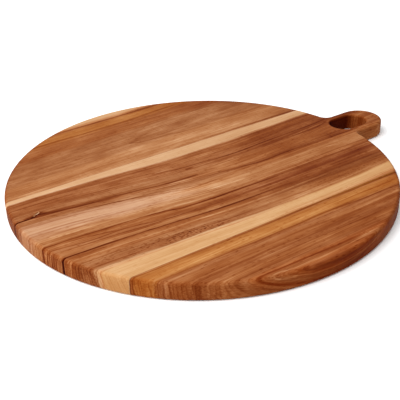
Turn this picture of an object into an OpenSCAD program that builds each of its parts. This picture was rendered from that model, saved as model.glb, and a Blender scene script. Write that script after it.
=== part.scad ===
// Round wooden cutting board with a loop handle.
// Three planks are glued edge to edge, then the round, its handle and the finger slot are sawn
// from the panel in one outline, and every edge is rounded over.
// The origin is the centre of the round on its underside. The grain and the handle run along +X.

/* [Board] */
// Diameter of the round
board_d = 350; // [260:5:420]
// Thickness of the planks
board_t = 16; // [12:0.5:24]
// Radius of the rounding along the outer edges, top and bottom
edge_r = 3; // [1:0.5:5]

/* [Planks] */
// Distance from the centre line to the back glue line
back_joint_y = 55; // [40:1:80]
// Distance from the centre line to the front glue line
front_joint_y = 104.5; // [80:0.5:115]
// Thickness of each glue line
glue_t = 0.2; // [0.1:0.05:0.5]

/* [Handle] */
// Width of the handle
handle_w = 43; // [40:1:50]
// Length of the handle past the round
handle_l = 48.5; // [44:0.5:60]
// Radius of the hollow corners where the handle leaves the round
neck_r = 8; // [5:1:12]
// Width of the finger slot
slot_w = 27; // [22:1:30]
// Length of the finger slot
slot_l = 40; // [32:0.5:50]
// Wood between the slot's outer end and the tip of the handle
tip_wall = 19; // [12:0.5:24]
// Radius of the rounding along the slot's edges, top and bottom
slot_edge_r = 2; // [0.5:0.5:3]

/* [Hidden] */
$fn = 144;

board_r = board_d / 2;
handle_r = handle_w / 2;

// Where the handle's wood starts inside the round
root_x = board_r - handle_w;
// Centre of the handle's round end
end_x = board_r + handle_l - handle_r;

// A hollow neck corner laps this far into the round and the handle, so that they meet in clean edges
neck_lap = 0.25;
// Centre of a neck corner's arc
neck_y = handle_r + neck_r - neck_lap;
neck_x = sqrt((board_r + neck_r - neck_lap) ^ 2 - neck_y ^ 2);

slot_r = slot_w / 2;
// Centres of the slot's outer and inner ends
slot_out_x = board_r + handle_l - tip_wall - slot_r;
slot_in_x = slot_out_x + slot_w - slot_l;

// A cut reaches this far past the faces that it cuts
over = 1;

// Half section of a plate that reaches out to r, with its edges rounded over
module plate_section(r) {
    square([r - edge_r, board_t]);
    translate([0, edge_r]) square([r, board_t - 2 * edge_r]);
    for (z = [edge_r, board_t - edge_r]) translate([r - edge_r, z]) circle(edge_r);
}

// Half section of a cut that reaches out to r, flared at both faces so that it rounds the wood's edges
module cut_section(r, rim_r) {
    difference() {
        translate([0, -over]) square([r + rim_r, board_t + 2 * over]);
        translate([r, rim_r]) square([rim_r + over, board_t - 2 * rim_r]);
        for (z = [rim_r, board_t - rim_r]) translate([r + rim_r, z]) circle(rim_r);
    }
}

// A half section and its mirror image, drawn out along X from x0 to x1
module along_x(x0, x1) {
    translate([x0, 0, 0]) rotate([90, 0, 90]) linear_extrude(x1 - x0) {
        children();
        mirror([1, 0]) children();
    }
}

// What the round holds between y0 and y1
module round_strip(y0, y1) {
    intersection() {
        rotate_extrude() plate_section(board_r);
        translate([-board_r - over, y0, -over]) cube([board_d + 2 * over, y1 - y0, board_t + 2 * over]);
    }
}

// The web between the round and the handle, with a hollow corner on each side
module neck() {
    difference() {
        translate([root_x, -neck_y, 0]) cube([neck_x - root_x, 2 * neck_y, board_t]);
        for (side = [-1, 1])
            translate([neck_x, side * neck_y, 0]) rotate_extrude() cut_section(neck_r, edge_r);
    }
}

// The handle's straight stretch and its round end
module handle() {
    along_x(root_x, end_x) plate_section(handle_r);
    translate([end_x, 0, 0]) rotate_extrude() plate_section(handle_r);
}

module finger_slot() {
    along_x(slot_in_x, slot_out_x) cut_section(slot_r, slot_edge_r);
    for (x = [slot_in_x, slot_out_x])
        translate([x, 0, 0]) rotate_extrude() cut_section(slot_r, slot_edge_r);
}

module plank_back() {
    color("#B8743F") round_strip(back_joint_y + glue_t / 2, board_r + over);
}

module plank_middle() {
    color("#A4623A") difference() {
        union() {
            round_strip(-front_joint_y + glue_t / 2, back_joint_y - glue_t / 2);
            neck();
            handle();
        }
        finger_slot();
    }
}

module plank_front() {
    color("#AE6A38") round_strip(-board_r - over, -front_joint_y - glue_t / 2);
}

module glue_line_back() {
    color("#7A4A24") round_strip(back_joint_y - glue_t / 2, back_joint_y + glue_t / 2);
}

module glue_line_front() {
    color("#7A4A24") round_strip(-front_joint_y - glue_t / 2, -front_joint_y + glue_t / 2);
}

plank_back();
plank_middle();
plank_front();
glue_line_back();
glue_line_front();
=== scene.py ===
# %% [markdown]
# # A round cutting board of glued planks
#
# The board is a panel of three hardwood planks, glued edge to edge and sawn to one outline: a round
# with a short handle, and a finger slot through the handle. Every edge is rounded over, and the wood
# is oiled. This lesson builds it in the maker's order: first the shape of the whole panel, then the
# cuts that part it into planks, then the wood itself.
#
# The measured frame comes first. It holds the solids that this model dresses, so every size below
# matches them, in metres.

# %% Load the frame
import math

import bmesh
import bpy
from mathutils import Matrix, Vector


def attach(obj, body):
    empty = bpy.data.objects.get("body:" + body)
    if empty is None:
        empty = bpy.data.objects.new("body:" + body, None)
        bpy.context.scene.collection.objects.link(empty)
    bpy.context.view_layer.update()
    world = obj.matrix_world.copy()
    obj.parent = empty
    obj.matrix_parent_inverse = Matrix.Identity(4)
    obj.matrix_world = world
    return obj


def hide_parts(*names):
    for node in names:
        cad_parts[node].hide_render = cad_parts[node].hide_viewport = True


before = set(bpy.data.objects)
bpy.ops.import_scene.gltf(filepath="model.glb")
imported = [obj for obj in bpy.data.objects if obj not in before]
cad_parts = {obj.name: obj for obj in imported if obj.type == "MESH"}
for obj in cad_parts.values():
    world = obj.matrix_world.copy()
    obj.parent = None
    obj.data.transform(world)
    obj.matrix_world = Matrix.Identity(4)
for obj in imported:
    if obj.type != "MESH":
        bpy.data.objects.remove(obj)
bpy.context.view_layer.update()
print("solids:", sorted(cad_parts))

# %% [markdown]
# ## The camera
#
# The picture was taken from the front left, about 29 degrees above the table, with a long lens that
# leans a little. A camera can be aimed by hand with a Track To constraint, but a lens that leans needs
# its roll as well. So the camera is set from its own three directions: right, down and forward.

# %% Place the camera
ROUND_R = 0.175
ELEVATION = 0.504605
ROLL = -0.021939
TURN = 0.614301
DISTANCE = 4.09327 * ROUND_R
ASIDE = 0.011168 * ROUND_R
ABOVE = -0.065376 * ROUND_R
FOCAL_PX = 784.47
FRAME_PX = 400
SENSOR_MM = 36.0

right = Vector((1, 0, 0))
forward = Vector((0, math.cos(ELEVATION), -math.sin(ELEVATION)))
down = forward.cross(right)
lean_right = math.cos(ROLL) * right - math.sin(ROLL) * down
lean_down = math.sin(ROLL) * right + math.cos(ROLL) * down
stand = -(ASIDE * lean_right + ABOVE * lean_down + DISTANCE * forward)

pose = Matrix((lean_right, -lean_down, -forward)).transposed().to_4x4()
pose.translation = stand
camera = bpy.data.objects.new("camera", bpy.data.cameras.new("camera"))
camera.data.sensor_width = SENSOR_MM
camera.data.lens = FOCAL_PX / FRAME_PX * SENSOR_MM
camera.matrix_world = Matrix.Rotation(-TURN, 4, "Z") @ pose
bpy.context.scene.collection.objects.link(camera)
bpy.context.scene.camera = camera
print("camera stands at", [round(c, 3) for c in camera.matrix_world.translation])

# %% [markdown]
# ## The outline of the panel
#
# A router follows the outline of a real board with a round-over bit, so the edge has the same section
# all the way round. The same is done here: the section of the edge is one upright line with a quarter
# circle at each end, and Spin carries it around each arc of the outline. Spin hands back its last copy
# of the section, so the next arc starts where the last one ended.

# %% Sizes of the panel
THICK = 0.016
EDGE_R = 0.003
HANDLE_R = 0.0215
HANDLE_TIP = ROUND_R + 0.0485
NECK_R = 0.008
SLOT_R = 0.0135
SLOT_RIM_R = 0.002
SLOT_IN_X = 0.178
SLOT_OUT_X = 0.191
UP = (0, 0, 1)

neck_y = HANDLE_R + NECK_R
neck_x = math.sqrt((ROUND_R + NECK_R) ** 2 - neck_y ** 2)
neck_angle = math.atan2(neck_y, neck_x)
end_x = HANDLE_TIP - HANDLE_R
print("neck corner starts", round(math.degrees(neck_angle), 2), "degrees from the handle")

# %% The section of an edge
ROUNDING_STEPS = 6
QUARTER = math.pi / 2


def edge_section(bm, x, radius, into):
    """An upright edge at x, rounded over at both ends. The wood lies on the side that into points to."""
    low = bm.verts.new((x, 0, radius))
    high = bm.verts.new((x, 0, THICK - radius))
    bm.edges.new((low, high))
    for end, turn in ((low, 1), (high, -1)):
        bmesh.ops.spin(bm, geom=[end], cent=(x + into * radius, 0, end.co.z), axis=(0, 1, 0),
                       angle=turn * -into * QUARTER, steps=ROUNDING_STEPS, use_merge=False)


def carry(bm, section, centre, angle, steps):
    """Spin a section about an upright axis and give back its last copy."""
    return bmesh.ops.spin(bm, geom=section, cent=centre, axis=UP, angle=angle, steps=steps)["geom_last"]


def draw_out(bm, section, along):
    """Draw a section out along X and give back its far copy."""
    edges = [g for g in section if isinstance(g, bmesh.types.BMEdge)]
    made = bmesh.ops.extrude_edge_only(bm, edges=edges)["geom"]
    far = [g for g in made if isinstance(g, bmesh.types.BMVert)]
    bmesh.ops.translate(bm, verts=far, vec=(along, 0, 0))
    return far + [g for g in made if isinstance(g, bmesh.types.BMEdge) and all(v in far for v in g.verts)]


# %% [markdown]
# ## Around the board
#
# The outline is arcs and straight lines that run into each other without a corner: the round, a hollow
# neck, the handle's side, its round tip, and back again. The neck's centre lies where a circle of its
# radius touches both the round and the handle's side. The slot is walked the same way, with the wood on
# the outside of the arcs.

# %% Walk the edge around the board
ROUND_STEPS, NECK_STEPS, TIP_STEPS, SLOT_STEPS = 320, 12, 48, 40
WELD = 1e-6


def walk_outline():
    """The rim of the round, its neck and the handle, as one closed band."""
    bm = bmesh.new()
    edge_section(bm, ROUND_R, EDGE_R, -1)
    bmesh.ops.rotate(bm, verts=bm.verts, cent=(0, 0, 0), matrix=Matrix.Rotation(neck_angle, 3, "Z"))
    section = list(bm.verts) + list(bm.edges)
    section = carry(bm, section, (0, 0, 0), 2 * math.pi - 2 * neck_angle, ROUND_STEPS)
    section = carry(bm, section, (neck_x, -neck_y, 0), neck_angle - QUARTER, NECK_STEPS)
    section = draw_out(bm, section, end_x - neck_x)
    section = carry(bm, section, (end_x, 0, 0), math.pi, TIP_STEPS)
    section = draw_out(bm, section, neck_x - end_x)
    carry(bm, section, (neck_x, neck_y, 0), neck_angle - QUARTER, NECK_STEPS)
    bmesh.ops.remove_doubles(bm, verts=bm.verts, dist=WELD)
    return bm


def walk_slot():
    """The wall of the finger slot, as one closed band with flared rims."""
    bm = bmesh.new()
    edge_section(bm, SLOT_OUT_X + SLOT_R, SLOT_RIM_R, 1)
    to_front = Matrix.Rotation(-QUARTER, 3, "Z")
    bmesh.ops.rotate(bm, verts=bm.verts, cent=(SLOT_OUT_X, 0, 0), matrix=to_front)
    section = list(bm.verts) + list(bm.edges)
    section = carry(bm, section, (SLOT_OUT_X, 0, 0), math.pi, SLOT_STEPS)
    section = draw_out(bm, section, SLOT_IN_X - SLOT_OUT_X)
    section = carry(bm, section, (SLOT_IN_X, 0, 0), math.pi, SLOT_STEPS)
    draw_out(bm, section, SLOT_OUT_X - SLOT_IN_X)
    bmesh.ops.remove_doubles(bm, verts=bm.verts, dist=WELD)
    return bm


# %% [markdown]
# ## Close the panel
#
# The two bands are the whole outside of the panel except its flat faces. Each face is bounded by the
# outline and by the slot, so it is a plate with a hole. A single large face can't have a hole, so
# Triangle Fill spans both loops at once.

# %% Fill the two faces
def join(bm, other):
    """Add another bmesh to this one."""
    carrier = bpy.data.meshes.new("carrier")
    other.to_mesh(carrier)
    other.free()
    bm.from_mesh(carrier)
    bpy.data.meshes.remove(carrier)


panel = walk_outline()
join(panel, walk_slot())
open_edges = [e for e in panel.edges if e.is_boundary]
for level in (0, THICK):
    ring = [e for e in open_edges if all(abs(v.co.z - level) < WELD for v in e.verts)]
    bmesh.ops.triangle_fill(panel, edges=ring, use_beauty=True)
bmesh.ops.recalc_face_normals(panel, faces=panel.faces)
print("panel:", len(panel.faces), "faces,", sum(e.is_boundary for e in panel.edges), "open edges,",
      round(panel.calc_volume() * 1e6, 1), "cubic centimetres")

# %% [markdown]
# ## Planks and glue lines
#
# The real panel is glued up first and sawn afterwards, so the outline runs on across every joint. Here
# the finished panel is copied for each piece and cut with Bisect at the joints. That gives the same
# result: the planks meet in flat faces, and no step shows where they meet.

# %% Cut the panel into its pieces
GLUE_HALF = 0.0001
BACK_Y = 0.055
FRONT_Y = -0.1045
FAR = 1.0
# A corner closer to a cut than this counts as lying on it.
CUT_GRIP = 1e-7
# Faces turned this squarely upwards, or across the grain, stay flat. The rest is shaded smooth.
FLAT_FACE, FLAT_CUT = 0.999, 0.99999


def cut_strip(name, y_low, y_high):
    """The part of the panel between two upright cuts across Y, closed where it was cut."""
    bm = panel.copy()
    for y, facing in ((y_low, -1), (y_high, 1)):
        everything = list(bm.verts) + list(bm.edges) + list(bm.faces)
        cut = bmesh.ops.bisect_plane(bm, geom=everything, dist=CUT_GRIP, plane_co=(0, y, 0),
                                     plane_no=(0, facing, 0), clear_outer=True)
        edges = [g for g in cut["geom_cut"] if isinstance(g, bmesh.types.BMEdge)]
        if edges:
            bmesh.ops.edgeloop_fill(bm, edges=edges)
    bmesh.ops.recalc_face_normals(bm, faces=bm.faces)
    for face in bm.faces:
        face.smooth = abs(face.normal.z) < FLAT_FACE and abs(face.normal.y) < FLAT_CUT
    mesh = bpy.data.meshes.new(name)
    bm.to_mesh(mesh)
    open_left = sum(e.is_boundary for e in bm.edges)
    bm.free()
    piece = bpy.data.objects.new(name, mesh)
    bpy.context.scene.collection.objects.link(piece)
    print(name, len(mesh.polygons), "faces,", open_left, "open edges")
    return piece


board_pieces = {
    "plank_back": (BACK_Y + GLUE_HALF, FAR, "back_wood"),
    "plank_middle": (FRONT_Y + GLUE_HALF, BACK_Y - GLUE_HALF, "middle_wood"),
    "plank_front": (-FAR, FRONT_Y - GLUE_HALF, "front_wood"),
    "glue_line_back": (BACK_Y - GLUE_HALF, BACK_Y + GLUE_HALF, "glue"),
    "glue_line_front": (FRONT_Y - GLUE_HALF, FRONT_Y + GLUE_HALF, "glue"),
}
pieces = {}
for node, (y_low, y_high, slot) in board_pieces.items():
    pieces[node] = cut_strip(node + "_wood" if slot != "glue" else node + "_film", y_low, y_high)
panel.free()

# %% [markdown]
# ## A drying check
#
# As wood dries it shrinks most at its ends, and there it may split along the grain. This board has one
# such check at its left end: a hairline that runs in from the rim, with a pin knot and some torn grain
# beside it.

# %% Cut the check
def carve(piece, tool):
    """Cut a closed bmesh out of a piece and keep the result as the piece's mesh."""
    cutter = bpy.data.objects.new("cutter", bpy.data.meshes.new("cutter"))
    tool.to_mesh(cutter.data)
    tool.free()
    bpy.context.scene.collection.objects.link(cutter)
    cut = piece.modifiers.new("cut", "BOOLEAN")
    cut.operation, cut.solver, cut.object = "DIFFERENCE", "EXACT", cutter
    ready = piece.evaluated_get(bpy.context.evaluated_depsgraph_get())
    carved, before = bpy.data.meshes.new_from_object(ready), piece.data
    piece.modifiers.clear()
    piece.data = carved
    carved.name = before.name
    bpy.data.meshes.remove(before)
    bpy.data.meshes.remove(cutter.data)
    print(piece.name, "now has", len(carved.polygons), "faces")


CHECK_X, CHECK_Y = -0.1665, 0.0172
CHECK_LONG, CHECK_HALF, CHECK_DEEP = 0.021, 0.0006, 0.007
CHECK_WAVES = ((0.0003, 700), (0.0002, 1900))

# The cone's wide end stands just outside the rim, and its point lies further in.
check = bmesh.new()
bmesh.ops.create_cone(check, cap_ends=True, segments=4, radius1=1.0, radius2=0.0, depth=1.0)
long_edges = [e for e in check.edges if abs(e.verts[0].co.z - e.verts[1].co.z) > 0.5]
bmesh.ops.subdivide_edges(check, edges=long_edges, cuts=7)
bmesh.ops.transform(check, verts=check.verts, matrix=Matrix((
    (0, 0, CHECK_LONG, CHECK_X), (CHECK_HALF, 0, 0, CHECK_Y), (0, CHECK_DEEP, 0, THICK), (0, 0, 0, 1))))
for vert in check.verts:
    vert.co.y += sum(reach * math.sin(vert.co.x * pace) for reach, pace in CHECK_WAVES)
bmesh.ops.recalc_face_normals(check, faces=check.faces)
carve(pieces["plank_middle"], check)

# %% Cut the torn grain
KNOT_X, KNOT_Y = -0.1515, 0.0222
NICK_DEEP, NICK_ABOVE = 0.0009, 0.0001
NICKS = ((KNOT_X, KNOT_Y, 0.0036, 0.0012, 24),
         (KNOT_X - 0.0042, KNOT_Y - 0.0024, 0.0026, 0.0009, 33))

for x, y, half_long, half_wide, turn in NICKS:
    lie = (Matrix.Translation((x, y, THICK + NICK_ABOVE)) @ Matrix.Rotation(math.radians(turn), 4, "Z")
           @ Matrix.Diagonal((half_long, half_wide, NICK_DEEP, 1)))
    pebble = bmesh.new()
    bmesh.ops.create_icosphere(pebble, subdivisions=3, radius=1.0, matrix=lie)
    carve(pieces["plank_middle"], pebble)

# %% [markdown]
# ## Pieces and solids
#
# Each finished piece takes the place of the solid with the same name, which is hidden. The board is one
# stiff thing, so all of them ride on the same body.

# %% Set the pieces in the frame
for node, (y_low, y_high, slot) in board_pieces.items():
    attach(pieces[node], "root")
    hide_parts(node)
    print(pieces[node].name, "stands for", node, "in", slot)

# %% [markdown]
# ## Wood from the inside out
#
# Wood is a solid pattern: what shows on the rim is the same growth rings as on the face, cut the other
# way. An unwrapped picture can't do that without seams at the edges. So the pattern is worked out from
# Object coordinates, in millimetres: along the grain, across it, and down into the plank.
#
# These helpers keep the node code short. One places a node, the others do sums, mix colours and stretch
# ranges.

# %% Node helpers
def place(tree, kind, inputs=None, **settings):
    """Place a node, set its properties, then fill its sockets with numbers or wires."""
    made = tree.nodes.new(kind)
    for name, value in settings.items():
        setattr(made, name, value)
    for name, value in (inputs or {}).items():
        socket = made.inputs[name]
        if isinstance(value, bpy.types.NodeSocket):
            tree.links.new(value, socket)
        else:
            socket.default_value = value
    return made


def calc(tree, how, *terms):
    """One sum on a Math node."""
    return place(tree, "ShaderNodeMath", dict(enumerate(terms)), operation=how).outputs[0]


def blend(tree, factor, first, second):
    """Mix two colours."""
    return place(tree, "ShaderNodeMix", {0: factor, 6: first, 7: second}, data_type="RGBA").outputs[2]


def remap(tree, value, low, high, to_low=0.0, to_high=1.0, kind="LINEAR"):
    """Stretch a range of values onto another."""
    return place(tree, "ShaderNodeMapRange", {0: value, 1: low, 2: high, 3: to_low, 4: to_high},
                 interpolation_type=kind, clamp=True).outputs[0]


# %% [markdown]
# ## Curves and groups
#
# A Float Curve draws any slow change through given points, but it only knows values from 0 to 1. The helper
# takes millimetres and real heights, and stretches both to fit. A group is a small tree with named sockets,
# so that one kind of wood can be shared by three planks.

# %% Curve and group helpers
LEAST_SPAN = 1e-6


def curve(tree, value, points):
    """A smooth curve through points of (value, height); past the first and last it stays level."""
    low, high = points[0][0], points[-1][0]
    tops = [top for at, top in points]
    base, span = min(tops), max(max(tops) - min(tops), LEAST_SPAN)
    made = place(tree, "ShaderNodeFloatCurve", {1: remap(tree, value, low, high)})
    line = made.mapping.curves[0]
    while len(line.points) < len(points):
        line.points.new(0.5, 0.5)
    for dot, (at, top) in zip(line.points, points):
        dot.location = ((at - low) / (high - low), (top - base) / span)
        dot.handle_type = "AUTO_CLAMPED"
    made.mapping.update()
    return calc(tree, "MULTIPLY_ADD", made.outputs[0], span, base)


def new_group(name, inputs, outputs):
    """An empty shader group with named sockets: the letter c stands for a colour, f for a number."""
    kinds = {"c": "NodeSocketColor", "f": "NodeSocketFloat"}
    tree = bpy.data.node_groups.new(name, "ShaderNodeTree")
    for label, kind in inputs.items():
        tree.interface.new_socket(label, in_out="INPUT", socket_type=kinds[kind])
    for label, kind in outputs.items():
        tree.interface.new_socket(label, in_out="OUTPUT", socket_type=kinds[kind])
    return tree, tree.nodes.new("NodeGroupInput").outputs, tree.nodes.new("NodeGroupOutput").inputs


def use(tree, group, **inputs):
    """Place a group and fill its sockets by name."""
    return place(tree, "ShaderNodeGroup", inputs, node_tree=group).outputs


# %% [markdown]
# ## Streaks
#
# Fibres, growth rings and stain lines are all long in the grain and narrow across it. One group draws
# them at any width: a noise whose space is squeezed along the grain. Rings are sheets, so they hardly
# change with depth; fibres are threads, so they change as fast with depth as across.

# %% The streak group
# A noise seldom leaves the middle half of its range, so that half is stretched to the whole.
NOISE_LOW, NOISE_HIGH = 0.25, 0.75

tree, given, result = new_group(
    "streaks", {"Along": "f", "Across": "f", "Depth": "f", "Length": "f", "Width": "f", "Sheet": "f",
                "Seed": "f"}, {"Value": "f"})
along = calc(tree, "ADD", calc(tree, "DIVIDE", given["Along"], given["Length"]), given["Seed"])
across = calc(tree, "DIVIDE", given["Across"], given["Width"])
depth = calc(tree, "DIVIDE", given["Depth"], calc(tree, "MULTIPLY", given["Width"], given["Sheet"]))
spot = place(tree, "ShaderNodeCombineXYZ", {0: along, 1: across, 2: depth}).outputs[0]
cloud = place(tree, "ShaderNodeTexNoise", {"Vector": spot, "Scale": 1.0, "Detail": 3.0, "Roughness": 0.55})
tree.links.new(remap(tree, cloud.outputs[0], NOISE_LOW, NOISE_HIGH), result["Value"])
streaks = tree
print("group", streaks.name, "has", len(streaks.nodes), "nodes")

# %% [markdown]
# ## Pores
#
# The wood is full of fine tubes. Cut along, a tube shows as a short dark dash; cut across, as a dot.
# A stretched Voronoi has one cell for each tube, and a small circle about each cell's centre is the tube.
# Every cell also has its own colour. It decides which cells stay empty, so the tubes don't stand in rows.

# %% The pore group
PORE_EDGE, PORE_CORE = 0.36, 0.14
EMPTY_BELOW, FULL_ABOVE = 0.35, 0.6

tree, given, result = new_group(
    "pores", {"Along": "f", "Across": "f", "Depth": "f", "Length": "f", "Space": "f", "Seed": "f"},
    {"Mask": "f"})
spot = place(tree, "ShaderNodeCombineXYZ", {
    0: calc(tree, "ADD", calc(tree, "DIVIDE", given["Along"], given["Length"]), given["Seed"]),
    1: calc(tree, "DIVIDE", given["Across"], given["Space"]),
    2: calc(tree, "DIVIDE", given["Depth"], given["Space"])}).outputs[0]
cells = place(tree, "ShaderNodeTexVoronoi", {"Vector": spot, "Scale": 1.0, "Randomness": 1.0})
dash = remap(tree, cells.outputs["Distance"], PORE_EDGE, PORE_CORE, kind="SMOOTHSTEP")
lot = place(tree, "ShaderNodeSeparateColor", {0: cells.outputs["Color"]}).outputs[0]
some = remap(tree, lot, EMPTY_BELOW, FULL_ABOVE)
tree.links.new(calc(tree, "MULTIPLY", dash, some), result["Mask"])
pores = tree
print("group", pores.name, "has", len(pores.nodes), "nodes")

# %% [markdown]
# ## Oiled wood
#
# A plank's colour comes in as a tone. This group adds what all the planks share: broad growth bands,
# rings, fibres, pores and a soft mottle. It also needs to know which way the wood was cut at each point.
# A wall that faces along the grain is end grain, and there the rings show as fine, sharp lines.

# %% The lines in oiled wood
# Each kind of line: what it follows, its length and width in millimetres, and how far it reaches down.
LINE_KINDS = (("bands", "Ring", 420.0, 7.0, 9.0), ("rings", "Ring", 200.0, 2.7, 9.0),
              ("fibres", "Across", 60.0, 0.9, 1.0), ("mottle", "Across", 34.0, 13.0, 1.0))
PORE_LONG, PORE_SPACE = 7.0, 0.9
RING_SPACE, RING_WOBBLE, LATE_FROM = 2.3, 2.5, 0.55

tree, given, result = new_group(
    "oiled wood", {"Tone": "c", "Along": "f", "Across": "f", "Depth": "f", "Ring": "f", "Rings": "f",
                   "Fibres": "f", "Pores": "f", "Mottle": "f", "Stain": "f", "Rim": "f", "Ends": "f",
                   "Seed": "f"},
    {"Color": "c", "Roughness": "f", "Height": "f"})
lines = {}
for label, follows, length, width, sheet in LINE_KINDS:
    lines[label] = use(tree, streaks, Along=given["Along"], Across=given[follows], Depth=given["Depth"],
                       Length=length, Width=width, Sheet=sheet, Seed=given["Seed"])["Value"]
dashes = use(tree, pores, Along=given["Along"], Across=given["Across"], Depth=given["Depth"],
             Length=PORE_LONG, Space=PORE_SPACE, Seed=given["Seed"])["Mask"]
normal = place(tree, "ShaderNodeNewGeometry").outputs["Normal"]
facing = place(tree, "ShaderNodeSeparateXYZ", {0: normal}).outputs
end_grain = calc(tree, "ABSOLUTE", facing["X"])
on_rim = calc(tree, "SQRT", calc(tree, "SUBTRACT", 1.0, calc(tree, "ABSOLUTE", facing["Z"])))
evenly = calc(tree, "DIVIDE", given["Ring"], RING_SPACE)
wobble = calc(tree, "MULTIPLY_ADD", lines["bands"], RING_WOBBLE, evenly)
late_wood = remap(tree, calc(tree, "FRACT", wobble), LATE_FROM, 1.0)
print("lines:", sorted(lines))

# %% [markdown]
# ## From lines to colour
#
# Darker wood is also redder wood, which plain multiplying doesn't give. So the tone is raised to a power
# instead: a Gamma node darkens the blue most and the red least. Every line adds its share to that power,
# and so do stains, the rim and the end grain. Cream sapwood shows its lines less, so it takes a smaller
# share of them.

# %% The colour of oiled wood
PLAIN_POWER, LEAST_POWER = 0.958, 0.5
FACE_RINGS, END_SHARPNESS, END_DARKER = 0.08, 3.0, 0.14
PALE_FROM, PALE_FULL, PALE_SHARE = 0.235, 0.28, 0.45

sharply = calc(tree, "POWER", end_grain, END_SHARPNESS)
swing = calc(tree, "MULTIPLY", late_wood, calc(tree, "MULTIPLY_ADD", sharply, given["Ends"], FACE_RINGS))
for label, amount in (("bands", "Rings"), ("rings", "Rings"), ("fibres", "Fibres"), ("mottle", "Mottle")):
    swing = calc(tree, "MULTIPLY_ADD", calc(tree, "SUBTRACT", 0.5, lines[label]), given[amount], swing)
swing = calc(tree, "ADD", calc(tree, "MULTIPLY_ADD", dashes, given["Pores"], swing), given["Stain"])
grey = place(tree, "ShaderNodeRGBToBW", {0: given["Tone"]}).outputs[0]
share = remap(tree, grey, PALE_FROM, PALE_FULL, 1.0, PALE_SHARE)
power = calc(tree, "MULTIPLY_ADD", swing, share, PLAIN_POWER)
# The Rim input darkens the walls: partly end grain taking up oil, and in places painted shade where a wall
# faces away from the light.
power = calc(tree, "MULTIPLY_ADD", on_rim, given["Rim"], power)
power = calc(tree, "MULTIPLY_ADD", end_grain, END_DARKER, power)
power = calc(tree, "MAXIMUM", power, LEAST_POWER)
shaded = place(tree, "ShaderNodeGamma", {0: given["Tone"], 1: power}).outputs[0]
tree.links.new(shaded, result["Color"])

# %% [markdown]
# ## Sheen and touch
#
# Oil sinks into the wood and leaves a soft sheen. It is a little duller where a fibre stands up, in the
# pores and on end grain. The same lines can be felt: pores are tiny furrows, fibres and rings are ridges.
# They are far too fine to model, so the group gives their height, which a Bump node turns into shading.

# %% The sheen of oiled wood
OILED_DULL, FIBRE_DULL, PORE_DULL, END_DULL = 0.42, 0.10, 0.18, 0.10
FIBRE_HIGH, PORE_HIGH, RING_HIGH = 0.35, -0.8, 0.25

rough = calc(tree, "MULTIPLY_ADD", lines["fibres"], FIBRE_DULL, OILED_DULL)
rough = calc(tree, "MULTIPLY_ADD", dashes, PORE_DULL, rough)
rough = calc(tree, "MULTIPLY_ADD", end_grain, END_DULL, rough)
tree.links.new(rough, result["Roughness"])
height = calc(tree, "MULTIPLY_ADD", dashes, PORE_HIGH, calc(tree, "MULTIPLY", lines["fibres"], FIBRE_HIGH))
height = calc(tree, "MULTIPLY_ADD", lines["rings"], RING_HIGH, height)
tree.links.new(height, result["Height"])
oiled_wood = tree
print("group", oiled_wood.name, "has", len(oiled_wood.nodes), "nodes")

# %% [markdown]
# ## Tones
#
# The board's colours are few: cream sapwood, a rosy pale zone, honey and tan in the light wood, russet
# and red brown in the heart, and olive along the front glue line. Each plank below is a list of bands,
# in millimetres across the plank, and each band names one of these tones. A Color Ramp blends them.

# %% Tones of the wood
TONES = {
    "cream": (0.460, 0.252, 0.111),
    "pink cream": (0.460, 0.260, 0.132),
    "pale rose": (0.450, 0.252, 0.145),
    "dim rose": (0.370, 0.180, 0.095),
    "honey": (0.390, 0.167, 0.064),
    "tan": (0.335, 0.140, 0.054),
    "amber": (0.350, 0.132, 0.034),
    "gold": (0.315, 0.113, 0.028),
    "rose tan": (0.262, 0.096, 0.034),
    "orange": (0.255, 0.082, 0.024),
    "rust": (0.250, 0.068, 0.017),
    "russet": (0.215, 0.063, 0.018),
    "red brown": (0.180, 0.044, 0.012),
    "olive": (0.200, 0.058, 0.006),
}


def band_ramp(tree, across, bands):
    """Colour across a plank: bands of (millimetres, tone), blended from one to the next."""
    low, high = bands[0][0], bands[-1][0]
    made = place(tree, "ShaderNodeValToRGB", {0: remap(tree, across, low, high)})
    stops = made.color_ramp.elements
    while len(stops) < len(bands):
        stops.new(0.5)
    for stop, (at, tone) in zip(stops, bands):
        stop.position = (at - low) / (high - low)
    for stop, (at, tone) in zip(stops, bands):
        stop.color = (*TONES[tone], 1.0)
    return made.outputs[0]


# %% [markdown]
# ## Grain that strays
#
# A tree doesn't grow straight, so neither does the grain: it strays from side to side along the plank,
# and the edge of each band frays into the fibres beside it. Straight bands would look printed. Both are
# done by bending the place across the plank before its tone is looked up.

# %% Where a point lies in the wood
MM = 1000.0
FRAY_LONG, FRAY_WIDE, FRAY_SHEET = 130.0, 1.7, 6.0


def start_wood(name):
    """A material with its shader, and where a point is: along, across and down, in millimetres."""
    material = bpy.data.materials.new(name)
    material.use_nodes = True
    tree = material.node_tree
    spot = place(tree, "ShaderNodeTexCoord").outputs["Object"]
    in_mm = place(tree, "ShaderNodeVectorMath", {0: spot, 1: (MM, MM, MM)}, operation="MULTIPLY").outputs[0]
    along, across, up = place(tree, "ShaderNodeSeparateXYZ", {0: in_mm}).outputs
    return material, tree, along, across, calc(tree, "SUBTRACT", THICK * MM, up)


def wander(tree, along, across, reach, length, width, seed):
    """How far the grain strays to one side: a slow noise, stretched along the plank."""
    spot = place(tree, "ShaderNodeCombineXYZ", {
        0: calc(tree, "DIVIDE", along, length), 1: calc(tree, "DIVIDE", across, width), 2: seed}).outputs[0]
    cloud = place(tree, "ShaderNodeTexNoise", {"Vector": spot, "Scale": 1.0, "Detail": 1.0}).outputs[0]
    return calc(tree, "MULTIPLY", calc(tree, "SUBTRACT", cloud, 0.5), 2 * reach)


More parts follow.
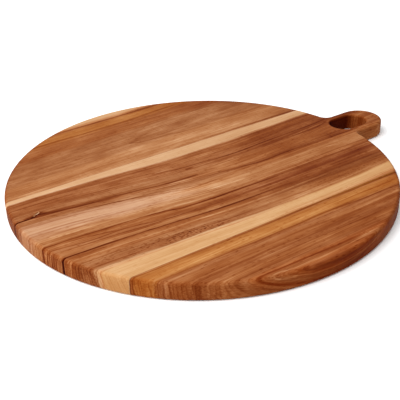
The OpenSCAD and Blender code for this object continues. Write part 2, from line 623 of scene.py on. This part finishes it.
def feather(tree, along, across, depth, reach, seed):
    """Where a band seems to lie: its edges fray into the fibres beside it."""
    frayed = use(tree, streaks, Along=along, Across=across, Depth=depth, Length=FRAY_LONG,
                 Width=FRAY_WIDE, Sheet=FRAY_SHEET, Seed=seed)["Value"]
    return calc(tree, "MULTIPLY_ADD", calc(tree, "SUBTRACT", frayed, 0.5), 2 * reach, across)


# %% [markdown]
# ## Streaks one by one
#
# Some streaks of this board can be told apart one by one. Noise would put them anywhere, so each of them
# is listed: a darkness, a half width, and a path along the plank. A negative darkness lightens.
# The paths bend with two Float Curves, one for the place and one for the strength.

# %% Strokes
def strokes(tree, along, across, table, total=0.0):
    """Long streaks listed one by one, added to a total: each has its darkness, half width and path.

    A path lists (along, across, strength), and the streak fades out where its strength falls to 0.
    """
    for darkness, half, path in table:
        middle = curve(tree, along, [(x, y) for x, y, strength in path])
        strength = curve(tree, along, [(x, strength) for x, y, strength in path])
        off = calc(tree, "ABSOLUTE", calc(tree, "SUBTRACT", across, middle))
        near = remap(tree, off, half, 0.0, 0.0, darkness, kind="SMOOTHSTEP")
        total = calc(tree, "MULTIPLY_ADD", near, strength, total)
    return total


# %% [markdown]
# ## The finish
#
# Oil leaves no film on the wood, so its shine is slight, and warm like the wood under it. The colour, the
# dullness and the bump come from the wood group. The shader itself stays in each plank's material, so
# that a plank can be given another finish without touching the wood.

# %% From wood to shader
TOUCH_STRENGTH, TOUCH_DEEP = 0.35, 0.00012
SHINE = 0.012
SHINE_TINT = (1.0, 0.62, 0.38, 1)


def finish_wood(material, tree, **settings):
    """Put a plank's tone through the oiled wood group and into its shader."""
    wood = use(tree, oiled_wood, **settings)
    shader = tree.nodes["Principled BSDF"]
    tree.links.new(wood["Color"], shader.inputs["Base Color"])
    tree.links.new(wood["Roughness"], shader.inputs["Roughness"])
    touch = place(tree, "ShaderNodeBump", {"Height": wood["Height"], "Strength": TOUCH_STRENGTH,
                                           "Distance": TOUCH_DEEP})
    tree.links.new(touch.outputs[0], shader.inputs["Normal"])
    shader.inputs["Specular IOR Level"].default_value = SHINE
    shader.inputs["Specular Tint"].default_value = SHINE_TINT
    print(material.name, "has", len(tree.nodes), "nodes")


# %% [markdown]
# ## The middle plank
#
# The widest plank was sawn close to the heart: red-brown in the middle, with cream sapwood left along
# both edges. Its grain isn't straight. From the left end it drifts towards the front, most of all in
# the middle of the plank, and towards the handle it lifts again. Bands that were simply straight would
# look printed, so the drift is worked out first, from two curves, and the bands are laid out in it.
# Near the front the growth sheets also lean, so the bands shift as they go down the rim.

# %% Drift of the middle plank's grain
material, tree, along, across, depth = start_wood("middle plank")
left_drift = curve(tree, along, [
    (-180, 1.03), (-172, 1.0), (-140, 0.9), (-90, 0.56), (-50, 0.31), (-20, 0.12), (0, 0.06), (30, 0.01),
    (60, 0.0), (230, 0.0)])
right_lift = curve(tree, along, [(-180, 0.0), (55, 0.0), (90, 0.25), (130, 0.65), (165, 1.0), (230, 1.2)])


def drift_reach(place_across):
    """How far the grain drifts at this place across the plank, in millimetres."""
    return curve(tree, place_across, [(-110, 5), (-90, 9), (-65, 14), (-48, 17), (-23, 24.5), (-5, 24.5),
                                      (14, 20), (39, 11), (60, 7)])


lift_reach = curve(tree, across, [(-110, 2), (-90, 2), (-50, 0), (-16, 0.5), (10, 7), (40, 4.5), (60, 3)])
lifted = calc(tree, "SUBTRACT", across, calc(tree, "MULTIPLY", right_lift, lift_reach))
guess = calc(tree, "SUBTRACT", lifted, calc(tree, "MULTIPLY", left_drift, drift_reach(lifted)))
level = calc(tree, "SUBTRACT", lifted, calc(tree, "MULTIPLY", left_drift, drift_reach(guess)))
lean = remap(tree, across, low=-60.0, high=-92.0, to_low=0.0, to_high=0.24)
level = calc(tree, "MULTIPLY_ADD", depth, lean, level)
level = calc(tree, "ADD", level, wander(tree, along, across, reach=1.6, length=90.0, width=26.0, seed=3.0))
level = calc(tree, "ADD", level, wander(tree, along, across, reach=0.5, length=22.0, width=7.0, seed=8.0))
print("drift of the", material.name, "takes", len(tree.nodes), "nodes")

# %% [markdown]
# ## Bands of the middle plank
#
# The plank is not the same at both ends: a pale, rosy zone at the left warms to honey towards the middle,
# and fades out before the handle. One ramp can't change along the plank, so there are three, and they
# are blended where the grain strays from one into the next.

# %% Bands of the middle plank
left_bands = [(-105, "cream"), (-93, "cream"), (-91.8, "honey"), (-90.8, "pink cream"),
              (-89.6, "pink cream"), (-88.4, "rose tan"), (-86, "russet"), (-80, "rose tan"),
              (-74, "orange"), (-67.5, "orange"), (-65.5, "russet"), (-63.8, "tan"), (-60, "orange"),
              (-56, "russet"), (-52, "orange"), (-47, "orange"), (-43, "tan"), (-38, "tan"),
              (-32, "dim rose"), (-28, "pale rose"), (-24, "pale rose"), (-20, "dim rose"),
              (-14, "rose tan"), (-7, "russet"), (0, "rose tan"), (14, "russet"), (38, "russet"),
              (41, "pink cream")]
right_bands = [(-105, "honey"), (-98, "cream"), (-91, "cream"), (-89, "tan"), (-79, "tan"),
               (-74, "rose tan"), (-66, "russet"), (-60, "russet"), (-54, "red brown"), (-48, "russet"),
               (-42, "orange"), (-36, "tan"), (-27, "tan"), (-22, "orange"), (-19, "orange"),
               (-15, "russet"), (-8, "orange"), (0, "orange"), (8, "russet"), (20, "russet"),
               (30, "orange"), (36, "russet"), (37.5, "orange"), (40.5, "pink cream")]
warmer = {"pale rose": "honey", "dim rose": "tan"}
near_bands = [(at, warmer.get(tone, tone)) for at, tone in left_bands]

frayed = feather(tree, along, level, depth, reach=1.7, seed=6.0)
turning = wander(tree, along, across, reach=45.0, length=120.0, width=6.0, seed=21.0)
side = remap(tree, calc(tree, "ADD", along, turning), low=-45.0, high=45.0, kind="SMOOTHSTEP")
warming = wander(tree, along, across, reach=25.0, length=90.0, width=5.0, seed=23.0)
fade = remap(tree, calc(tree, "ADD", along, warming), low=-85.0, high=-10.0)
left_tone = blend(tree, fade, band_ramp(tree, frayed, left_bands), band_ramp(tree, frayed, near_bands))
tone = blend(tree, side, left_tone, band_ramp(tree, frayed, right_bands))
print("bands:", len(left_bands), "at the left,", len(right_bands), "at the right")

# %% [markdown]
# ## Dark lines of the middle plank
#
# Dark lines are dense wood, and the saw crosses them at a slant, so they come and go along the plank.
# They don't keep to the bands, so they have a place of their own across the plank: the true one, a
# little strayed and frayed, and leaning near the front as the bands do.

# %% Dark lines of the middle plank
leaning = calc(tree, "MULTIPLY_ADD", depth, lean, across)
straying = wander(tree, along, across, reach=0.7, length=30.0, width=9.0, seed=12.0)
strayed = feather(tree, along, calc(tree, "ADD", leaning, straying), depth, reach=0.6, seed=13.0)
stain = strokes(tree, along, strayed, [
    (0.40, 1.8, [(-153, 19.5, 0), (-147, 18.3, .9), (-128, 13.5, .5), (-98, 9, .5), (-66, 5, .8),
                 (-38, 0.3, 1.3), (-12, -1.5, 1.3), (-5, -1.6, 0)]),
    (0.45, 1.2, [(-140, 6, 0), (-128, 4.5, .6), (-88, -1.5, .7), (-48, -13, .8), (-18, -20, 1),
                 (5, -20, 0)]),
    (0.35, 1.1, [(-120, 5.5, 0), (-112, 4, .8), (-82, -3, 1), (-58, -7, .8), (-22, -17, .8),
                 (-12, -18.5, 0)]),
    (0.55, 1.2, [(-40, 23, 0), (-30, 21.5, .6), (-6, 17, .7), (30, 14, .8), (46, 13.2, 1), (81, 14.7, 1),
                 (108, 15.9, .9), (149, 17.7, 1), (168, 19, .7), (182, 20, 0)]),
    (0.55, 1.7, [(-10, 12.8, 0), (-7, 12.5, 1), (-4, 12.5, .9), (0, 12.5, 0)]),
    (0.45, 1.6, [(74, 7, 0), (84, 7.5, .6), (117, 8.6, .7), (149, 9.7, 1), (160, 12, 1), (169, 14.5, 0)]),
    (0.55, 1.5, [(-2, -10, 0), (4, -10.7, .5), (35, -13, .5), (54, -16.2, 1), (62, -16.3, 1),
                 (81, -15.3, .7), (117, -16.4, .6), (163, -16.4, .8), (184, -17, 0)]),
    (0.65, 1.4, [(-180, -29, .9), (-170, -30, 1), (-148, -31, .8), (-128, -33, 1), (-98, -35, .7),
                 (-68, -39, .9), (-48, -44, .9), (-8, -46, .9), (30, -47, .7), (52, -47.5, 0)]),
    (0.45, 1.1, [(-180, -36.5, .8), (-170, -37.5, .7), (-138, -42, .8), (-108, -43, .6), (-78, -49, .7),
                 (-50, -54, 0)]),
    (0.35, 1.1, [(-160, -33, 0), (-148, -34, .9), (-128, -38, 1), (-112, -42, .8), (-100, -44, 0)]),
    (0.35, 1.1, [(-165, -43.5, 0), (-156, -44, .8), (-118, -47, 1), (-88, -50, .8), (-58, -52, .9),
                 (-34, -56, 0)]),
    (0.80, 1.3, [(-180, -51.5, 1), (-167, -52.4, 1), (-128, -54.3, .9), (-112, -55, .6), (-98, -56, .8),
                 (-82, -58, .5), (-38, -62, .5), (-18, -63.5, .9), (2, -64, .8), (30, -64.5, .4),
                 (60, -65, 0)]),
    (0.30, 2.8, [(98, -61, 0), (116, -61, .9), (135, -60.5, .9), (152, -60, 0)])])
print("dark lines laid on the", material.name)

# %% [markdown]
# ## Broad shades of the middle plank
#
# Between the lines the tone is never quite even. Broad, faint strokes darken or lighten whole stretches,
# so no band keeps the same colour from end to end. Towards the handle the whole plank is darker, most of
# all some way before the neck, which one curve along it gives.

# %% Broad shades of the middle plank
stain = strokes(tree, along, strayed, [
    (0.32, 6.0, [(-158, 18, 0), (-148, 17, 1), (-110, 11.5, .8), (-70, 6, .4), (-40, 1, 0)]),
    (-0.14, 6.0, [(-65, -20, 0), (-30, -26, 1), (0, -28, .8), (28, -29, 0)]),
    (0.26, 6.0, [(-180, -1, 1.3), (-150, -4, 1), (-120, -8, .7), (-90, -13, .3), (-75, -15, 0)]),
    (-0.12, 7.0, [(-110, -22, 0), (-85, -24, 1), (-50, -28, 1), (-20, -32, 0)]),
    (-0.09, 6.0, [(-110, 38, 0), (-85, 37, 1), (-40, 36, 1), (-10, 36, 0)]),
    (-0.10, 8.0, [(15, 19, 0), (40, 18, 1), (80, 18, 1), (105, 19, 0)]),
    (-0.11, 5.0, [(30, -20, 0), (60, -20, .6), (100, -20, 1), (160, -20, 1)]),
    (-0.09, 4.0, [(-175, -57, 1), (-130, -59, 1), (-95, -61, 0)]),
    (0.08, 4.0, [(-165, -65, 0), (-145, -66, 1), (-105, -68, 1), (-85, -69, 0)]),
    (-0.13, 5.0, [(-165, -72, 0), (-145, -74, 1), (-105, -76, 1), (-80, -78, 0)]),
    (0.22, 9.0, [(190, 2, 0), (206, 0, .5), (215, 2, 1), (225, 2, 1)]),
    (-0.10, 8.0, [(-40, 30, 0), (-10, 29, 1), (30, 27, .8), (60, 26, 0)]),
    (-0.17, 7.0, [(-95, 2, 0), (-75, 1, 1), (-40, -1.5, 1), (20, -3, .8), (45, -3, 0)]),
    (-0.20, 4.0, [(25, -43, 0), (50, -43, 1), (120, -43, 1), (150, -43, 0)]),
    (0.20, 4.5, [(20, -75, 0), (45, -75, 1), (90, -76, 1.2), (120, -77, 1.6), (150, -77, 1)]),
    (0.13, 6.0, [(-60, -54, 0), (-30, -56, 1), (20, -59, .6), (45, -60, 0)]),
    (0.09, 8.0, [(-115, -42, 0), (-80, -45, 1), (-40, -50, 1), (-10, -54, 0)]),
    (-0.08, 20.0, [(-125, 15, 0), (-85, 15, 1), (-30, 15, 1), (20, 17, .7), (60, 17, 0)]),
    (-0.10, 14.0, [(75, -55, 0), (105, -55, 1), (150, -55, 1)]),
    (0.26, 6.0, [(150, 22, 0), (175, 20, .9), (195, 18, 1), (207, 14, 1), (214, 8, .6), (220, 0, 0)]),
    (0.09, 5.0, [(-160, -46, 0), (-130, -48, 1), (-100, -50, .8), (-70, -54, 0)]),
    (0.14, 6.0, [(20, -82, 0), (45, -82, 1), (85, -82, 1), (115, -82, .8), (150, -81, .8)]),
    (0.12, 5.0, [(15, -68, 0), (50, -68.5, .8), (100, -69, 1), (125, -69, .6), (150, -70, 0)])], stain)
handle_shade = curve(tree, along, [(-20, 0.0), (40, 0.05), (110, 0.22), (150, 0.2), (175, 0.16),
                                   (200, 0.12), (212, 0.07), (225, 0.05)])
stain = calc(tree, "ADD", stain, handle_shade)
print("broad shades laid on the", material.name)

# %% [markdown]
# ## Wisps, the check and the torn grain
#
# The pale zone has fine lines of its own, with light wisps between them. The check is darkened with
# painted shade, along it and about it, as if in the crack's shadow. The torn grain has a dark side of
# painted shade and a light side of painted highlight, where the lifted fibres catch the light. All of
# these are the same strokes again, only finer or stronger.

# %% Wisps of the middle plank
stain = strokes(tree, along, strayed, [
    (0.26, 1.6, [(-166, -5, 0), (-150, -7, 1), (-125, -11, .8), (-108, -15, 0)]),
    (0.22, 2.2, [(-160, -15, 0), (-140, -18, 1), (-115, -22, .9), (-95, -27, 0)]),
    (0.16, 1.5, [(-104, -17, 0), (-80, -22, 1), (-55, -28, .8), (-35, -32, 0)]),
    (-0.20, 2.2, [(-164, -19, 0), (-146, -22, 1), (-125, -25, .6), (-110, -27, 0)]),
    (-0.16, 1.8, [(-62, -14.5, 0), (-40, -21, 1), (-15, -25, .8), (5, -27, 0)]),
    (-0.22, 1.4, [(-20, -30.5, 0), (-2, -32, 1), (15, -33, .8), (28, -33, 0)]),
    (-0.22, 1.6, [(121, -28.5, 0), (127, -30, 1), (135, -32, .8), (141, -34, 0)])], stain)

# %% Marks of the check and the torn grain
stain = strokes(tree, along, strayed, [
    # Painted shade along the check, as if in the crack's shadow.
    (1.10, 1.5, [(-178, 17.2, 1), (-160, 17.2, 1), (-156, 17.4, .6), (-153, 18, 0)]),
    (0.45, 3.0, [(-167, 18, 0), (-160, 19, 1), (-152, 20.5, 1), (-143, 20, 0)]),
    # Painted shade on the dark side of the torn grain.
    (0.80, 1.2, [(-160, 17.8, 0), (-157, 18.4, 1), (-153, 20, 1), (-149, 21.6, .8), (-146, 22.4, 0)]),
    # Painted highlight on the light side of the torn grain, where the lifted fibres catch the light.
    (-0.90, 1.1, [(-158, 19.2, 0), (-156, 20.2, .8), (-153.5, 21.6, 1), (-151, 23, 1), (-149, 24, 0)])],
    stain)
print("wisps and marks laid on the", material.name)

# %% [markdown]
# ## Dashes of the middle plank
#
# Beside the front sapwood lie wide, open pores, which show as short dark dashes. Two strokes draw the
# zone where they lie. Inside it, four layers of the pore group are added, each finer than the last.

# %% Dashes of the middle plank
DASH_LAYERS = ((5.5, 1.9, 9.0), (4.8, 1.6, 10.0), (4.0, 1.3, 11.0), (3.4, 1.1, 12.0))
DASH_DARK, DASH_HAZE = 0.62, 0.01

zone = strokes(tree, along, strayed, [
    (1.0, 9.0, [(-172, -66, 0), (-152, -71, .35), (-110, -75.5, .55), (-88, -78, 1.1), (-58, -81, 1.2),
                (-44, -83, .7), (-15, -86, 0)]),
    (0.5, 8.0, [(35, -82, 0), (60, -82, .6), (110, -82, .9), (150, -81, .8), (172, -81, 0)])])
for length, space, seed in DASH_LAYERS:
    dashes = use(tree, pores, Along=along, Across=strayed, Depth=depth, Length=length, Space=space,
                 Seed=seed)["Mask"]
    stain = calc(tree, "MULTIPLY_ADD", zone, calc(tree, "MULTIPLY_ADD", dashes, DASH_DARK, DASH_HAZE), stain)
print("dashes in", len(DASH_LAYERS), "layers")

# %% [markdown]
# ## Rim of the middle plank
#
# End grain drinks more oil than the face, and each band drinks its own share. So the rim has a darkness
# of its own, which the wood group adds only on the walls. It is drawn with strokes as well: first the
# bands at the left end, then painted shade on the far wall of the finger slot and on the front side of
# the handle, walls that face away from the light.

# %% Rim of the middle plank
PLAIN_RIM = 0.03

rim_oil_and_shade = strokes(tree, along, strayed, [
    (0.14, 12.0, [(-180, -2, 1), (-160, -2, 1)]),
    (-0.36, 6.0, [(-180, -57.5, 1), (-150, -57.5, 1)]),
    (-0.25, 3.5, [(-180, -32.5, 1), (-160, -32.5, 1)]),
    (0.24, 8.0, [(-180, -66, 1), (-140, -66, 1)]),
    (0.13, 13.0, [(-165, -94, 1), (-130, -94, 1)]),
    (0.80, 1.5, [(-180, -52.5, 1), (-150, -52.5, 1)]),
    (0.22, 4.0, [(-180, -47, 1), (-150, -47, 1)]),
    (0.30, 1.2, [(-180, -43, 1), (-150, -43, 1)]),
    (-0.30, 3.0, [(-180, -37, 1), (-150, -37, 1)]),
    # Painted shade: the far wall of the finger slot is darkened deeply, as if in the slot's shadow, up to
    # its round end.
    (1.70, 16.0, [(150, 6, 0), (160, 6, 1), (193, 6, 1), (196, 6, .75), (199, 6, .25), (203, 6, -.02),
                  (206, 6, -.02)]),
    # Faint painted shade on the front side of the handle, which faces away from the light.
    (0.04, 8.0, [(165, -23, 0), (180, -23, 1), (230, -23, 1)])])
rim_oil_and_shade = calc(tree, "ADD", rim_oil_and_shade, PLAIN_RIM)
# Ring lines on end grain are plain at the left end and faint towards the handle.
ends = remap(tree, along, low=60.0, high=150.0, to_low=0.55, to_high=0.15)
finish_wood(material, tree, Tone=tone, Along=along, Across=level, Depth=depth, Ring=level, Rings=0.36,
            Fibres=0.42, Pores=0.35, Mottle=0.32, Stain=stain, Rim=rim_oil_and_shade, Ends=ends, Seed=5.0)
pieces["plank_middle"].data.materials.append(material)

# %% [markdown]
# ## The back plank
#
# A lighter plank, sawn flat: calm tan and rose in its middle, where the rings lie almost in the face and
# draw a slow pointed figure, and gold and orange stripes at its outer edge, where they stand upright.

# %% Bands of the back plank
BACK_SLANT = -0.045

material, tree, along, across, depth = start_wood("back plank")
rise = calc(tree, "MULTIPLY_ADD", along, BACK_SLANT, across)
level = calc(tree, "ADD", rise, wander(tree, along, across, reach=2.0, length=110.0, width=30.0, seed=31.0))
level = calc(tree, "ADD", level, wander(tree, along, across, reach=0.6, length=25.0, width=8.0, seed=35.0))
back_bands = [(50, "rose tan"), (58, "tan"), (80, "tan"), (86, "rose tan"), (118, "rose tan"),
              (123, "orange"), (138, "orange"), (146, "gold"), (156, "gold"), (160, "orange"),
              (164, "honey"), (168, "pink cream"), (172, "cream"), (180, "honey")]
tone = band_ramp(tree, feather(tree, along, level, depth, reach=1.5, seed=18.0), back_bands)
print("bands:", len(back_bands))

# %% [markdown]
# ## Rings of the back plank
#
# Growth rings are round about the heart of the tree, which lay a little below this plank. So a ring is
# the distance from a line under it. The trunk tapers, so that distance also changes along the plank, and
# that is what draws the points of the figure.

# %% Rings of the back plank
HEART_Y, HEART_DEEP, TAPER = 92.0, 24.0, -0.022

sideways = calc(tree, "POWER", calc(tree, "SUBTRACT", across, HEART_Y), 2.0)
downwards = calc(tree, "POWER", calc(tree, "SUBTRACT", HEART_DEEP, depth), 2.0)
ring = calc(tree, "SQRT", calc(tree, "ADD", sideways, downwards))
ring = calc(tree, "MULTIPLY_ADD", along, TAPER, ring)
ring = calc(tree, "ADD", ring, wander(tree, along, across, reach=1.2, length=60.0, width=18.0, seed=41.0))
print("the heart lies", HEART_DEEP - THICK * MM, "mm under the plank")

# %% [markdown]
# ## Streaks of the back plank
#
# Two dark stripes follow the outer edge. Two lines part from one point in the middle of the plank: the
# tip of the figure, where the saw just grazed a ring. The rest are fine lines by the glue, and broad,
# faint shades. A curve darkens both ends of the plank a little.

# %% Streaks of the back plank
straying = wander(tree, along, across, reach=0.9, length=30.0, width=9.0, seed=43.0)
strayed = feather(tree, along, calc(tree, "ADD", across, straying), depth, reach=0.7, seed=44.0)
stain = strokes(tree, along, strayed, [
    (0.30, 2.6, [(-120, 139, .4), (-90, 141, 1), (-40, 142, .9), (0, 143, 1), (50, 147, .9), (75, 149, 0)]),
    (0.30, 2.2, [(-90, 157, .6), (-60, 158.5, 1), (0, 159, 1), (45, 160.5, .9), (70, 162, 0)]),
    (0.12, 5.0, [(-130, 128, 0), (-80, 130, .2), (-40, 131, .3), (0, 131, 1), (60, 132, .8), (110, 134, 0)]),
    (0.10, 8.0, [(15, 129, 0), (40, 129, 1), (80, 129, 1), (105, 130, 0)]),
    (0.08, 4.0, [(-130, 124, .6), (-100, 125, 1), (-40, 125, 1), (0, 126, 0)]),
    (-0.07, 4.0, [(-120, 133, 1), (-60, 133, 1), (-30, 133, 0)]),
    (-0.07, 14.0, [(-150, 80, 0), (-120, 82, .8), (-60, 78, 1), (-30, 78, 1), (-10, 78, 0)]),
    (-0.09, 6.0, [(-110, 101, 0), (-80, 101, .8), (-10, 101, 1), (25, 102, .8), (45, 102, 0)]),
    (-0.08, 8.0, [(-60, 70, 0), (-20, 70, 1), (40, 70, .8), (80, 70, 0)]),
    (-0.11, 8.0, [(-110, 85, 0), (-80, 86, 1), (-45, 86, 1), (-15, 87, 0)]),
    (0.22, 24.0, [(5, 162, 0), (45, 157, .9), (90, 142, 1), (120, 128, 1), (150, 110, .4)]),
    (0.26, 4.0, [(80, 87, 0), (105, 86.5, 1), (150, 86, 1)]),
    (0.28, 1.4, [(-21, 93, 0), (-18, 92.5, 1), (-9, 89, .9), (14, 87.6, .7), (48, 83.5, 1), (90, 82.5, .9),
                 (139, 82, 1), (152, 82, 0)]),
    (0.16, 4.5, [(-21, 93, 0), (-16, 94, .8), (-6, 99, 1), (12, 105, .6), (35, 110, 0)]),
    (0.20, 1.0, [(-165, 63, .8), (-140, 63, 1), (-90, 64.5, .8), (-30, 65, 0)]),
    (0.22, 1.0, [(-160, 60, .6), (-130, 60, 1), (-100, 61, .6), (-50, 61, 0)]),
    (0.22, 1.0, [(-150, 69, 0), (-120, 68.5, .8), (-70, 69.5, .7), (-20, 68, 0)]),
    (0.30, 1.6, [(0, 57, 0), (30, 57.3, .7), (90, 57.3, 1), (165, 57.3, 1)])])
end_shade = curve(tree, along, [(-175, 0.08), (-60, 0.06), (0, 0.02), (60, 0.0), (110, 0.08), (170, 0.2)])
stain = calc(tree, "ADD", stain, end_shade)
# Rim=0.28 darkens the walls: partly end grain taking up oil, partly painted shade on the back rim, which
# faces away from the light.
finish_wood(material, tree, Tone=tone, Along=along, Across=level, Depth=depth, Ring=ring, Rings=0.18,
            Fibres=0.38, Pores=0.26, Mottle=0.36, Stain=stain, Rim=0.28, Ends=0.45, Seed=17.0)
pieces["plank_back"].data.materials.append(material)

# %% [markdown]
# ## The front plank
#
# The front plank is a crescent. Its growth sheets stand upright at the glue line and dip outwards near
# the rim, so the round edge cuts them at a slant, into long arcs. A point's sheet is its place across,
# moved by its depth times the dip. It orders the bands on the face and on the rim, and they are counted
# inwards from a line just outside the rim.

# %% Bands of the front plank
OUTER_LINE, BAND_SLANT, RING_SLANT = 178.0, 0.012, -0.03

material, tree, along, across, depth = start_wood("front plank")
dip = remap(tree, across, low=-145.0, high=-172.0, to_low=0.05, to_high=0.9, kind="SMOOTHSTEP")
sheet = calc(tree, "MULTIPLY_ADD", depth, dip, across)
level = calc(tree, "MULTIPLY_ADD", along, BAND_SLANT, calc(tree, "ADD", sheet, OUTER_LINE))
level = calc(tree, "ADD", level, wander(tree, along, across, reach=1.0, length=100.0, width=24.0, seed=51.0))
level = calc(tree, "ADD", level, wander(tree, along, across, reach=0.4, length=25.0, width=8.0, seed=55.0))
ring = calc(tree, "MULTIPLY_ADD", along, RING_SLANT, sheet)
ring = calc(tree, "ADD", ring, wander(tree, along, across, reach=0.8, length=60.0, width=24.0, seed=52.0))
front_bands = [(0, "rust"), (2.5, "rust"), (5, "red brown"), (8, "rust"), (13, "russet"),
               (17, "rust"), (21, "russet"), (28, "orange"), (36, "russet"),
               (44, "orange"), (49, "orange"), (53, "russet"), (56, "orange"), (58.5, "gold"), (61, "amber"),
               (65, "amber"), (69.5, "gold"), (71.5, "orange"), (73.5, "olive"), (78, "olive")]
tone = band_ramp(tree, feather(tree, along, level, depth, reach=1.6, seed=30.0), front_bands)
print("bands:", len(front_bands))

# %% [markdown]
# ## Streaks of the front plank
#
# Long lines run beside the glue, and short ones swing out in arcs at the rim. They follow the sheets, so
# they turn down over the edge by themselves. The rim cuts the sheets at a changing slant, and its
# darkness changes with it. On its right half the rim also carries painted shade, where it faces away
# from the light. One curve along the board gives both.

# %% Streaks of the front plank
straying = wander(tree, along, across, reach=0.9, length=30.0, width=9.0, seed=57.0)
strayed = feather(tree, along, calc(tree, "ADD", sheet, straying), depth, reach=0.7, seed=58.0)
stain = strokes(tree, along, strayed, [
    (0.22, 1.8, [(-150, -119.5, .8), (-115, -120, 1), (-45, -121.5, 1), (30, -121, 1.1), (80, -123.5, 1.5),
                 (130, -124, 1.3)]),
    (0.18, 2.0, [(-130, -127, 0), (-60, -129, .5), (10, -131, .7), (60, -134.5, .6), (120, -136, .3)]),
    (-0.14, 3.6, [(10, -130, 0), (50, -130.5, 1), (120, -131, 1)]),
    (0.42, 1.7, [(-75, -160, 0), (-60, -160.5, 1), (-25, -161.5, .9), (15, -163, .7), (40, -162, 0)]),
    (-0.26, 1.4, [(-62, -163, 0), (-50, -164.5, 1), (-30, -167.5, 1), (0, -168, .8), (30, -166, .9),
                  (60, -163, 0)]),
    (0.34, 1.8, [(-75, -165, 0), (-60, -167, 1), (-40, -170, 1), (-25, -172, 0)]),
    (0.22, 9.0, [(40, -115, 0), (75, -116, .7), (110, -115, .9), (140, -112, 1.4)]),
    (0.16, 1.2, [(-60, -140, 0), (-20, -140, 1), (40, -141, .9), (90, -142, 0)]),
    (0.16, 1.2, [(-20, -146, 0), (20, -146, 1), (70, -147, .8), (100, -147, 0)]),
    (0.15, 24.0, [(-20, -145, 0), (30, -145, .7), (70, -144, 1), (150, -140, 1)]),
    (0.24, 1.4, [(40, -114.5, 0), (65, -115.5, .9), (110, -115.5, 1), (135, -114, .7)]),
    (0.07, 4.0, [(-140, -114, 1.2), (-100, -114.5, .8), (0, -115, .3), (40, -115, .5), (140, -115, 1)]),
    (-0.13, 3.4, [(-130, -124, 0), (-100, -124.5, 1), (0, -125, .8), (40, -126, 0)]),
    (0.12, 4.0, [(85, -122, 0), (110, -121, 1), (140, -120, 1)]),
    (0.26, 1.3, [(-150, -106.5, 1), (-90, -106.5, 1), (-30, -106.5, .8), (30, -106.5, .6), (50, -106.5, 0)]),
    (0.25, 1.5, [(40, -106, 0), (70, -106.5, .8), (140, -107, 1)])])
# The rim's darkness along the board: end grain at the left, and painted shade added on the right half.
rim_oil_and_shade = curve(tree, along, [(-145, 0.25), (-136, 0.16), (-130, 0.18), (-124, -0.02), (-118, 0.16),
                          (-110, 0.09), (-97, 0.13), (-87, 0.08), (-76, 0.0), (-65, 0.14), (-54, 0.1),
                          (-42, 0.2), (-30, 0.26), (-18, 0.4), (0, 0.42), (20, 0.46), (40, 0.44),
                          (55, 0.24), (140, 0.2)])
finish_wood(material, tree, Tone=tone, Along=along, Across=strayed, Depth=depth, Ring=ring, Rings=0.28,
            Fibres=0.36, Pores=0.30, Mottle=0.28, Stain=stain, Rim=rim_oil_and_shade, Ends=0.65, Seed=29.0)
pieces["plank_front"].data.materials.append(material)

# %% [markdown]
# ## The glue lines
#
# Wood glue dries to a hairline, darker than the wood beside it and a little glossier. It is so thin that
# a single tone would do, but the film takes on some of the wood's fibres, so its tone is broken up by
# the same streaks.

# %% The glue
GLUE_DARK = (0.16, 0.06, 0.02, 1)
GLUE_LIGHT = (0.27, 0.11, 0.035, 1)
GLUE_GLOSSY, GLUE_DULL = 0.35, 0.5

material, tree, along, across, depth = start_wood("cured glue")
spread = use(tree, streaks, Along=along, Across=depth, Depth=across, Length=18.0, Width=1.2, Sheet=1.0,
             Seed=63.0)["Value"]
shader = tree.nodes["Principled BSDF"]
tree.links.new(blend(tree, spread, GLUE_DARK, GLUE_LIGHT), shader.inputs["Base Color"])
tree.links.new(remap(tree, spread, 0.0, 1.0, GLUE_GLOSSY, GLUE_DULL), shader.inputs["Roughness"])
for node in ("glue_line_back", "glue_line_front"):
    pieces[node].data.materials.append(material)
print(material.name, "has", len(tree.nodes), "nodes")

# %% [markdown]
# ## The studio
#
# A product picture on white: the floor is almost white, a bright sky lights everything evenly, and one
# large soft light stands high at the picture's left, a little to the camera's side of the board. So the
# walls that face right and back are darker, and the shadows are faint. The Standard view keeps the
# colours as they are set.

# %% Floor and sky
FLOOR_HALF = 4.0
FLOOR_WHITE, FLOOR_DULL = 0.95, 0.9
SKY_STRENGTH = 0.76

scene = bpy.context.scene
scene.view_settings.view_transform = "Standard"

floor_bm = bmesh.new()
bmesh.ops.create_grid(floor_bm, x_segments=1, y_segments=1, size=FLOOR_HALF)
floor = bpy.data.objects.new("floor", bpy.data.meshes.new("floor"))
floor_bm.to_mesh(floor.data)
floor_bm.free()
scene.collection.objects.link(floor)
floor_paint = bpy.data.materials.new("white paper")
floor_paint.use_nodes = True
paper = floor_paint.node_tree.nodes["Principled BSDF"].inputs
paper["Base Color"].default_value = (FLOOR_WHITE, FLOOR_WHITE, FLOOR_WHITE, 1)
paper["Roughness"].default_value = FLOOR_DULL
floor.data.materials.append(floor_paint)

sky = bpy.data.worlds.new("studio")
sky.use_nodes = True
sky.node_tree.nodes["Background"].inputs["Color"].default_value = (1.0, 1.0, 1.0, 1)
sky.node_tree.nodes["Background"].inputs["Strength"].default_value = SKY_STRENGTH
scene.world = sky
print("floor is", 2 * FLOOR_HALF, "m wide")

# %% The soft light
# Seen from above, 0 degrees is at the camera's right, 90 behind the board and 180 at its left.
LIGHT_TURN, LIGHT_TILT = math.radians(213) - TURN, math.radians(52)
LIGHT_AWAY, LIGHT_SIZE, LIGHT_WATTS = 2.3, 2.3, 72.0

window = bpy.data.objects.new("window", bpy.data.lights.new("window", "AREA"))
window.data.size = LIGHT_SIZE
window.data.energy = LIGHT_WATTS
window.location = LIGHT_AWAY * Vector((math.cos(LIGHT_TURN) * math.cos(LIGHT_TILT),
                                       math.sin(LIGHT_TURN) * math.cos(LIGHT_TILT), math.sin(LIGHT_TILT)))
window.rotation_euler = (-window.location).to_track_quat("-Z", "Y").to_euler()
scene.collection.objects.link(window)
print("light stands at", [round(c, 2) for c in window.location])

# %% [markdown]
# ## Finish
#
# The view layer is brought up to date.

# %% Finish
bpy.context.view_layer.update()
